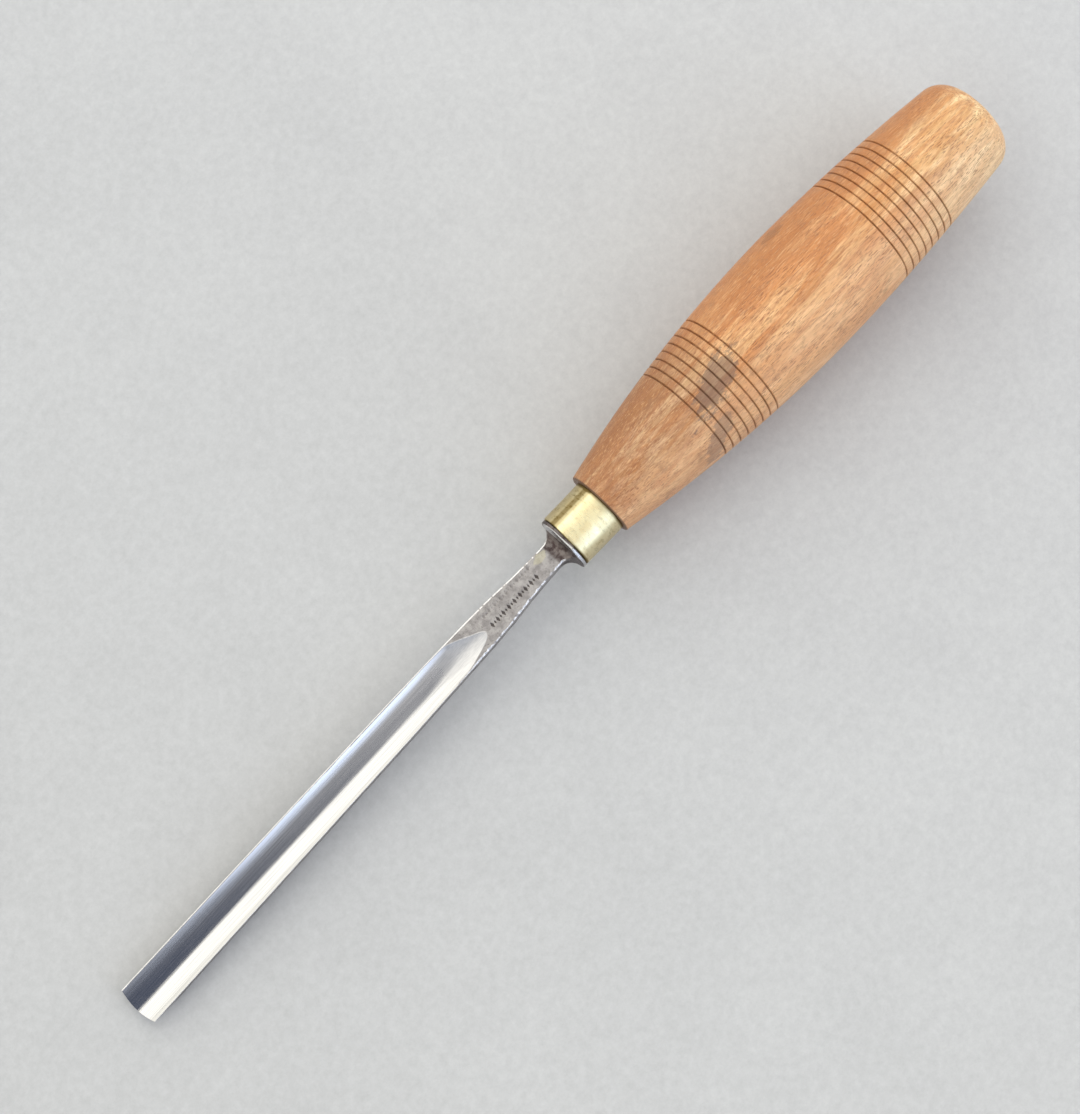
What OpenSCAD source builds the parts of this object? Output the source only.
// A straight tanged gouge: turned handle, brass ferrule and one steel forging.
//
// Each piece is drawn along the tool's own axis, x, with x = 0 where the ferrule's back edge
// meets the handle's shoulder. The cutting edge is on the +x side and the hollow faces +z.
// on_bench() then tips the whole tool nose down, to the pose in which it lies on a flat bench.

/* [Handle] */
// Length of the wood behind the ferrule
handle_length = 117.4; // [105:0.1:130]
// Largest diameter, at the belly
belly_diameter = 28.6; // [26:0.1:32]
// Distance from the shoulder back to the belly
belly_at = 63.5; // [55:0.5:68]
// Diameter at the shoulder, before its corner is rounded
shoulder_diameter = 15.7; // [15.5:0.1:17]
// Diameter at the butt, before its corner is rounded
butt_diameter = 21.5; // [19:0.1:24]
// Radius of the rounded corner at the shoulder
shoulder_round = 0.4; // [0.3:0.1:0.9]
// Radius of the rounded corner at the butt
butt_round = 5.5; // [3:0.5:7]
// Height of the domed butt face
butt_dome = 0.8; // [0.3:0.1:1.5]
// Distance by which the wood is turned off the ferrule's centre, to the -y side
handle_offset = 0.5; // [0:0.1:0.8]

/* [Grooves] */
// Grooves in each of the two bands
groove_count = 8; // [3:1:9]
// Distance from one groove to the next
groove_pitch = 2.08; // [1.6:0.02:2.3]
// Width of a groove at the surface
groove_width = 0.7; // [0.4:0.1:1]
// Depth of a groove
groove_depth = 0.45; // [0.2:0.05:0.8]
// Distance from the shoulder to the first groove of the front band
front_band_at = 26.1; // [20:0.1:30]
// Distance from the shoulder to the first groove of the rear band
rear_band_at = 80.2; // [74:0.1:82]

/* [Ferrule] */
// Outside diameter
ferrule_diameter = 13.1; // [12.4:0.1:14]
// Length
ferrule_length = 10.9; // [8:0.1:14]
// Thickness of the brass
ferrule_wall = 0.8; // [0.6:0.1:1.2]
// Radius of the rounded front lip
ferrule_lip = 0.4; // [0.2:0.1:0.5]

/* [Gouge] */
// Distance from the handle's shoulder to the cutting edge
edge_at = 140.9; // [120:0.1:160]
// Width of the blade at the cutting edge
edge_width = 9.5; // [8:0.1:10]
// Width of the shank in front of the bolster
shank_width = 5.7; // [5:0.1:6.5]
// Half of the shank's thickness, and the height of the blade's rims above the axis
shank_half = 2.2; // [2:0.1:2.6]
// Diameter of the bolster's rim
bolster_diameter = 12.9; // [11.5:0.1:13.1]
// Thickness of the bolster's rim
bolster_rim = 0.8; // [0.8:0.1:1.6]
// Radius of the coves that blend the shank into the bolster
cove_radius = 3; // [3:0.1:4]
// Angle by which the forging leans to the side in the handle
blade_cant = 1.4; // [0:0.1:1.6]

/* [Hollow] */
// Radius of the hollow across the blade
sweep_radius = 6.4; // [5.4:0.1:7]
// Distance from the shoulder to where the hollow's full width ends
hollow_from = 44; // [42:0.2:60]
// Length of the ramp over which the hollow runs out into the shank
hollow_ramp = 10.4; // [6:0.1:12]
// Rim left on each side of the hollow
rim_width = 0.2; // [0.1:0.05:0.4]
// Thickness of the steel under the hollow, behind the bevel
floor_thickness = 2.1; // [1.5:0.1:2.3]
// Angle of the ground bevel
bevel_angle = 20; // [15:1:28]

/* [Tang] */
// Length of the tang behind the bolster
tang_length = 66; // [45:1:75]
// Width of the square tang where it leaves the bolster
tang_width = 6; // [5:0.1:6.5]
// Width of the tang before its point
tang_end_width = 3; // [2:0.1:4]

/* [Hidden] */
$fn = 96;

beech = "#b9733f";
brass = "#c9ae62";
steel = "#a9abb0";

belly_r = belly_diameter / 2;
shoulder_r = shoulder_diameter / 2;
butt_r = butt_diameter / 2;
ferrule_r = ferrule_diameter / 2;
spigot_r = ferrule_r - ferrule_wall;
bolster_r = bolster_diameter / 2;
// Hairline gap between pieces that touch, so that their solids don't share space
fit_gap = 0.02;
// Gap between the ferrule and the shoulder, and around the tang
seat_gap = 0.05;
// The forging pivots about the middle of the ferrule, so the bolster stands this far off its lip
cant_pivot = ferrule_length / 2;
bolster_at = ferrule_length + bolster_r * sin(blade_cant) + fit_gap;
cove_at = bolster_at + bolster_rim + cove_radius;

// Width of the blade just in front of the ramp
root_width = 8.4;

// How the tool lies: the bench touches the handle in front of the belly and the bevel's heel
bevel_length = floor_thickness / tan(bevel_angle);
heel_at = edge_at - bevel_length;
hollow_floor = hollow_depth(edge_width / 2 - rim_width);
heel_drop = hollow_floor - shank_half + floor_thickness;
belly_curve = (belly_r - shoulder_r) / pow(belly_at, 2);
heel_to_belly = heel_at + belly_at;
bench_slope = 2 * belly_curve * heel_to_belly
    - sqrt(pow(2 * belly_curve * heel_to_belly, 2) - 4 * belly_curve * (belly_r - heel_drop));
bench_angle = atan(bench_slope);

// Depth of the hollow where it is 2 * half wide at the rims
function hollow_depth(half) = sweep_radius - sqrt(pow(sweep_radius, 2) - pow(half, 2));

// Radius of the handle at a distance d behind the shoulder: a parabola in front of the belly,
// and a slightly flatter curve behind it
function handle_r(d) = d < belly_at
    ? belly_r - belly_curve * pow(belly_at - d, 2)
    : belly_r - (belly_r - butt_r) * pow((d - belly_at) / (handle_length - belly_at), 1.8);

// Points [distance, radius] from one place on the handle to another, about step apart
function handle_stretch(from, to, step = 3) =
    let (n = ceil((to - from) / step))
    [for (i = [0 : n]) let (d = from + (to - from) * i / n) [d, handle_r(d)]];

// One V groove: lip, bottom, lip
function groove(d) = [
    [d - groove_width / 2, handle_r(d - groove_width / 2)],
    [d, handle_r(d) - groove_depth],
    [d + groove_width / 2, handle_r(d + groove_width / 2)]
];

function band(from) = [for (i = [0 : groove_count - 1]) each groove(from + i * groove_pitch)];

// Points on a quarter circle about [d, r], from the direction a to the direction b
function corner(d, r, radius, a, b) =
    [for (i = [0 : 8]) let (t = a + (b - a) * i / 8) [d + radius * cos(t), r + radius * sin(t)]];

band_span = (groove_count - 1) * groove_pitch;
smooth_margin = 1.5;
butt_corner_at = handle_length - butt_dome - butt_round;

// Outline of the handle's surface as [distance behind the shoulder, radius]
handle_outline = concat(
    corner(shoulder_round, handle_r(shoulder_round) - shoulder_round, shoulder_round, 180, 90),
    handle_stretch(2, front_band_at - smooth_margin),
    band(front_band_at),
    handle_stretch(front_band_at + band_span + smooth_margin, rear_band_at - smooth_margin),
    band(rear_band_at),
    handle_stretch(rear_band_at + band_span + smooth_margin, butt_corner_at),
    // the corner starts a little late, where the curve already falls towards the butt
    corner(butt_corner_at, handle_r(butt_corner_at) - butt_round, butt_round, 80, 8),
    [[handle_length, 0]]
);

// Lays the whole tool on the bench
module on_bench() {
    rotate([0, bench_angle, 0]) children();
}

// Turns children, drawn along z, to lie along the tool's axis: +z becomes +x
module along_x() {
    rotate([0, 90, 0]) children();
}

// Leans the forging in the handle
module canted() {
    translate([cant_pivot, 0, 0]) rotate([0, 0, blade_cant]) translate([-cant_pivot, 0, 0]) children();
}

// A square bar along -x from x = 0, tapering from one width to another, then to a point.
// It is where two flat tapered plates cross.
module tapered_square(length, width, end_width, grow = 0) {
    half = width / 2 + grow;
    end_half = end_width / 2 + grow;
    point = end_width;
    side = [
        [1, half], [0, half], [-length + point, end_half], [-length - grow, 0.5 + grow],
        [-length - grow, -0.5 - grow], [-length + point, -end_half], [0, -half], [1, -half]
    ];
    intersection() {
        translate([0, 0, -width]) linear_extrude(2 * width) polygon(side);
        rotate([90, 0, 0]) translate([0, 0, -width]) linear_extrude(2 * width) polygon(side);
    }
}

module tang(grow = 0) {
    translate([bolster_at, 0, 0]) tapered_square(tang_length, tang_width, tang_end_width, grow);
}

module handle() {
    color(beech) difference() {
        union() {
            translate([-seat_gap, -handle_offset, 0]) mirror([1, 0, 0]) along_x() rotate_extrude()
                polygon(concat([[0, 0]], [for (p = handle_outline) [p[1], p[0]]]));
            // spigot inside the ferrule, stopping just short of its lip
            translate([-1, 0, 0]) along_x()
                cylinder(h = ferrule_length + 1 - 2 * ferrule_lip, r = spigot_r - fit_gap);
        }
        canted() tang(seat_gap);
    }
}

module ferrule() {
    lip_at = ferrule_length - ferrule_lip;
    lip = [for (i = [0 : 6]) let (t = 90 * i / 6)
        [ferrule_r - ferrule_lip + ferrule_lip * cos(t), lip_at + ferrule_lip * sin(t)]];
    color(brass) along_x() rotate_extrude()
        polygon(concat([[spigot_r, 0], [ferrule_r, 0]], lip, [[spigot_r, ferrule_length]]));
}

// Seen from above, the shank swells into the blade, which widens steadily to the edge
module plan_outline() {
    half = [
        [bolster_at + bolster_rim, shank_width / 2],
        [17.5, shank_width / 2],
        [21.5, 3],
        [25.5, 3.27],
        [29.5, 3.67],
        [37.5, 4.04],
        [hollow_from + 3, root_width / 2],
        [60, 4.4],
        [100, 4.57],
        [edge_at + 1, edge_width / 2]
    ];
    far = [for (i = [len(half) - 1 : -1 : 0]) [half[i][0], -half[i][1]]];
    polygon(concat(half, far));
}

// A cylinder of steel that passes under a point on the axis's plane and climbs towards +x
module lying_cylinder(under, radius, climb, back, front) {
    translate([under[0], 0, under[1]]) rotate([0, -climb, 0]) translate([-back, 0, radius])
        along_x() cylinder(h = back + front, r = radius, $fn = 180);
}

// What the blade is cut from: the plan outline with a flat top and a round back
module blade_blank() {
    back_radius = sweep_radius + floor_thickness;
    back_drop = heel_drop + 0.5;
    back_rise = atan(0.5 / (heel_at - hollow_from));
    intersection() {
        translate([0, 0, -2 * shank_half]) linear_extrude(3 * shank_half) plan_outline();
        lying_cylinder([hollow_from, -back_drop], back_radius, back_rise, hollow_from, edge_at);
    }
}

// The long hollow, nearly level, and the steeper ramp by which it runs out into the shank
module hollow() {
    root_depth = hollow_depth(root_width / 2 - rim_width);
    edge_point = [edge_at, shank_half - hollow_floor];
    root_point = [hollow_from, shank_half - root_depth];
    fall = atan((hollow_floor - root_depth) / (edge_at - hollow_from));
    ramp_fall = atan(root_depth / hollow_ramp);
    mitre = (fall + ramp_fall) / 2;
    reach = edge_at - hollow_from + 10;
    intersection() {
        lying_cylinder(edge_point, sweep_radius, -fall, reach, 5);
        beyond(root_point, mitre, reach + 10);
    }
    difference() {
        lying_cylinder(root_point, sweep_radius, -ramp_fall, 3 * hollow_ramp, 10);
        beyond(root_point, mitre, reach + 10);
    }
}

// All the space on the +x side of a plane through a point, the plane leaning by an angle
module beyond(point, lean, reach) {
    translate([point[0], 0, point[1]]) rotate([0, lean, 0]) translate([0, -reach / 2, -reach / 2])
        cube(reach);
}

// Everything in front of the bevel's ground face, which is part of a cylinder that meets the hollow's
// floor at the edge. It is a little tighter than the hollow, so that the edge stays thin at its corners.
module bevel_waste() {
    bevel_radius = sweep_radius - 0.25;
    waste_from = edge_at - 2.5 * bevel_length;
    reach = 6 * bevel_length;
    difference() {
        translate([waste_from, -edge_width, -edge_width]) cube([reach, 2 * edge_width, 3 * edge_width]);
        lying_cylinder([edge_at, shank_half - hollow_floor], bevel_radius, bevel_angle, reach, reach);
    }
}

module bolster() {
    difference() {
        translate([bolster_at, 0, 0]) along_x() cylinder(h = cove_at - bolster_at, r = bolster_r);
        for (side = [-1, 1]) {
            translate([cove_at, side * (shank_width / 2 + cove_radius), -bolster_r])
                cylinder(h = 2 * bolster_r, r = cove_radius);
            translate([cove_at, bolster_r, side * (shank_half + cove_radius)]) rotate([90, 0, 0])
                cylinder(h = 2 * bolster_r, r = cove_radius);
        }
    }
}

module gouge() {
    color(steel) canted() {
        difference() {
            blade_blank();
            hollow();
            bevel_waste();
        }
        bolster();
        tang();
    }
}

on_bench() handle();
on_bench() ferrule();
on_bench() gouge();
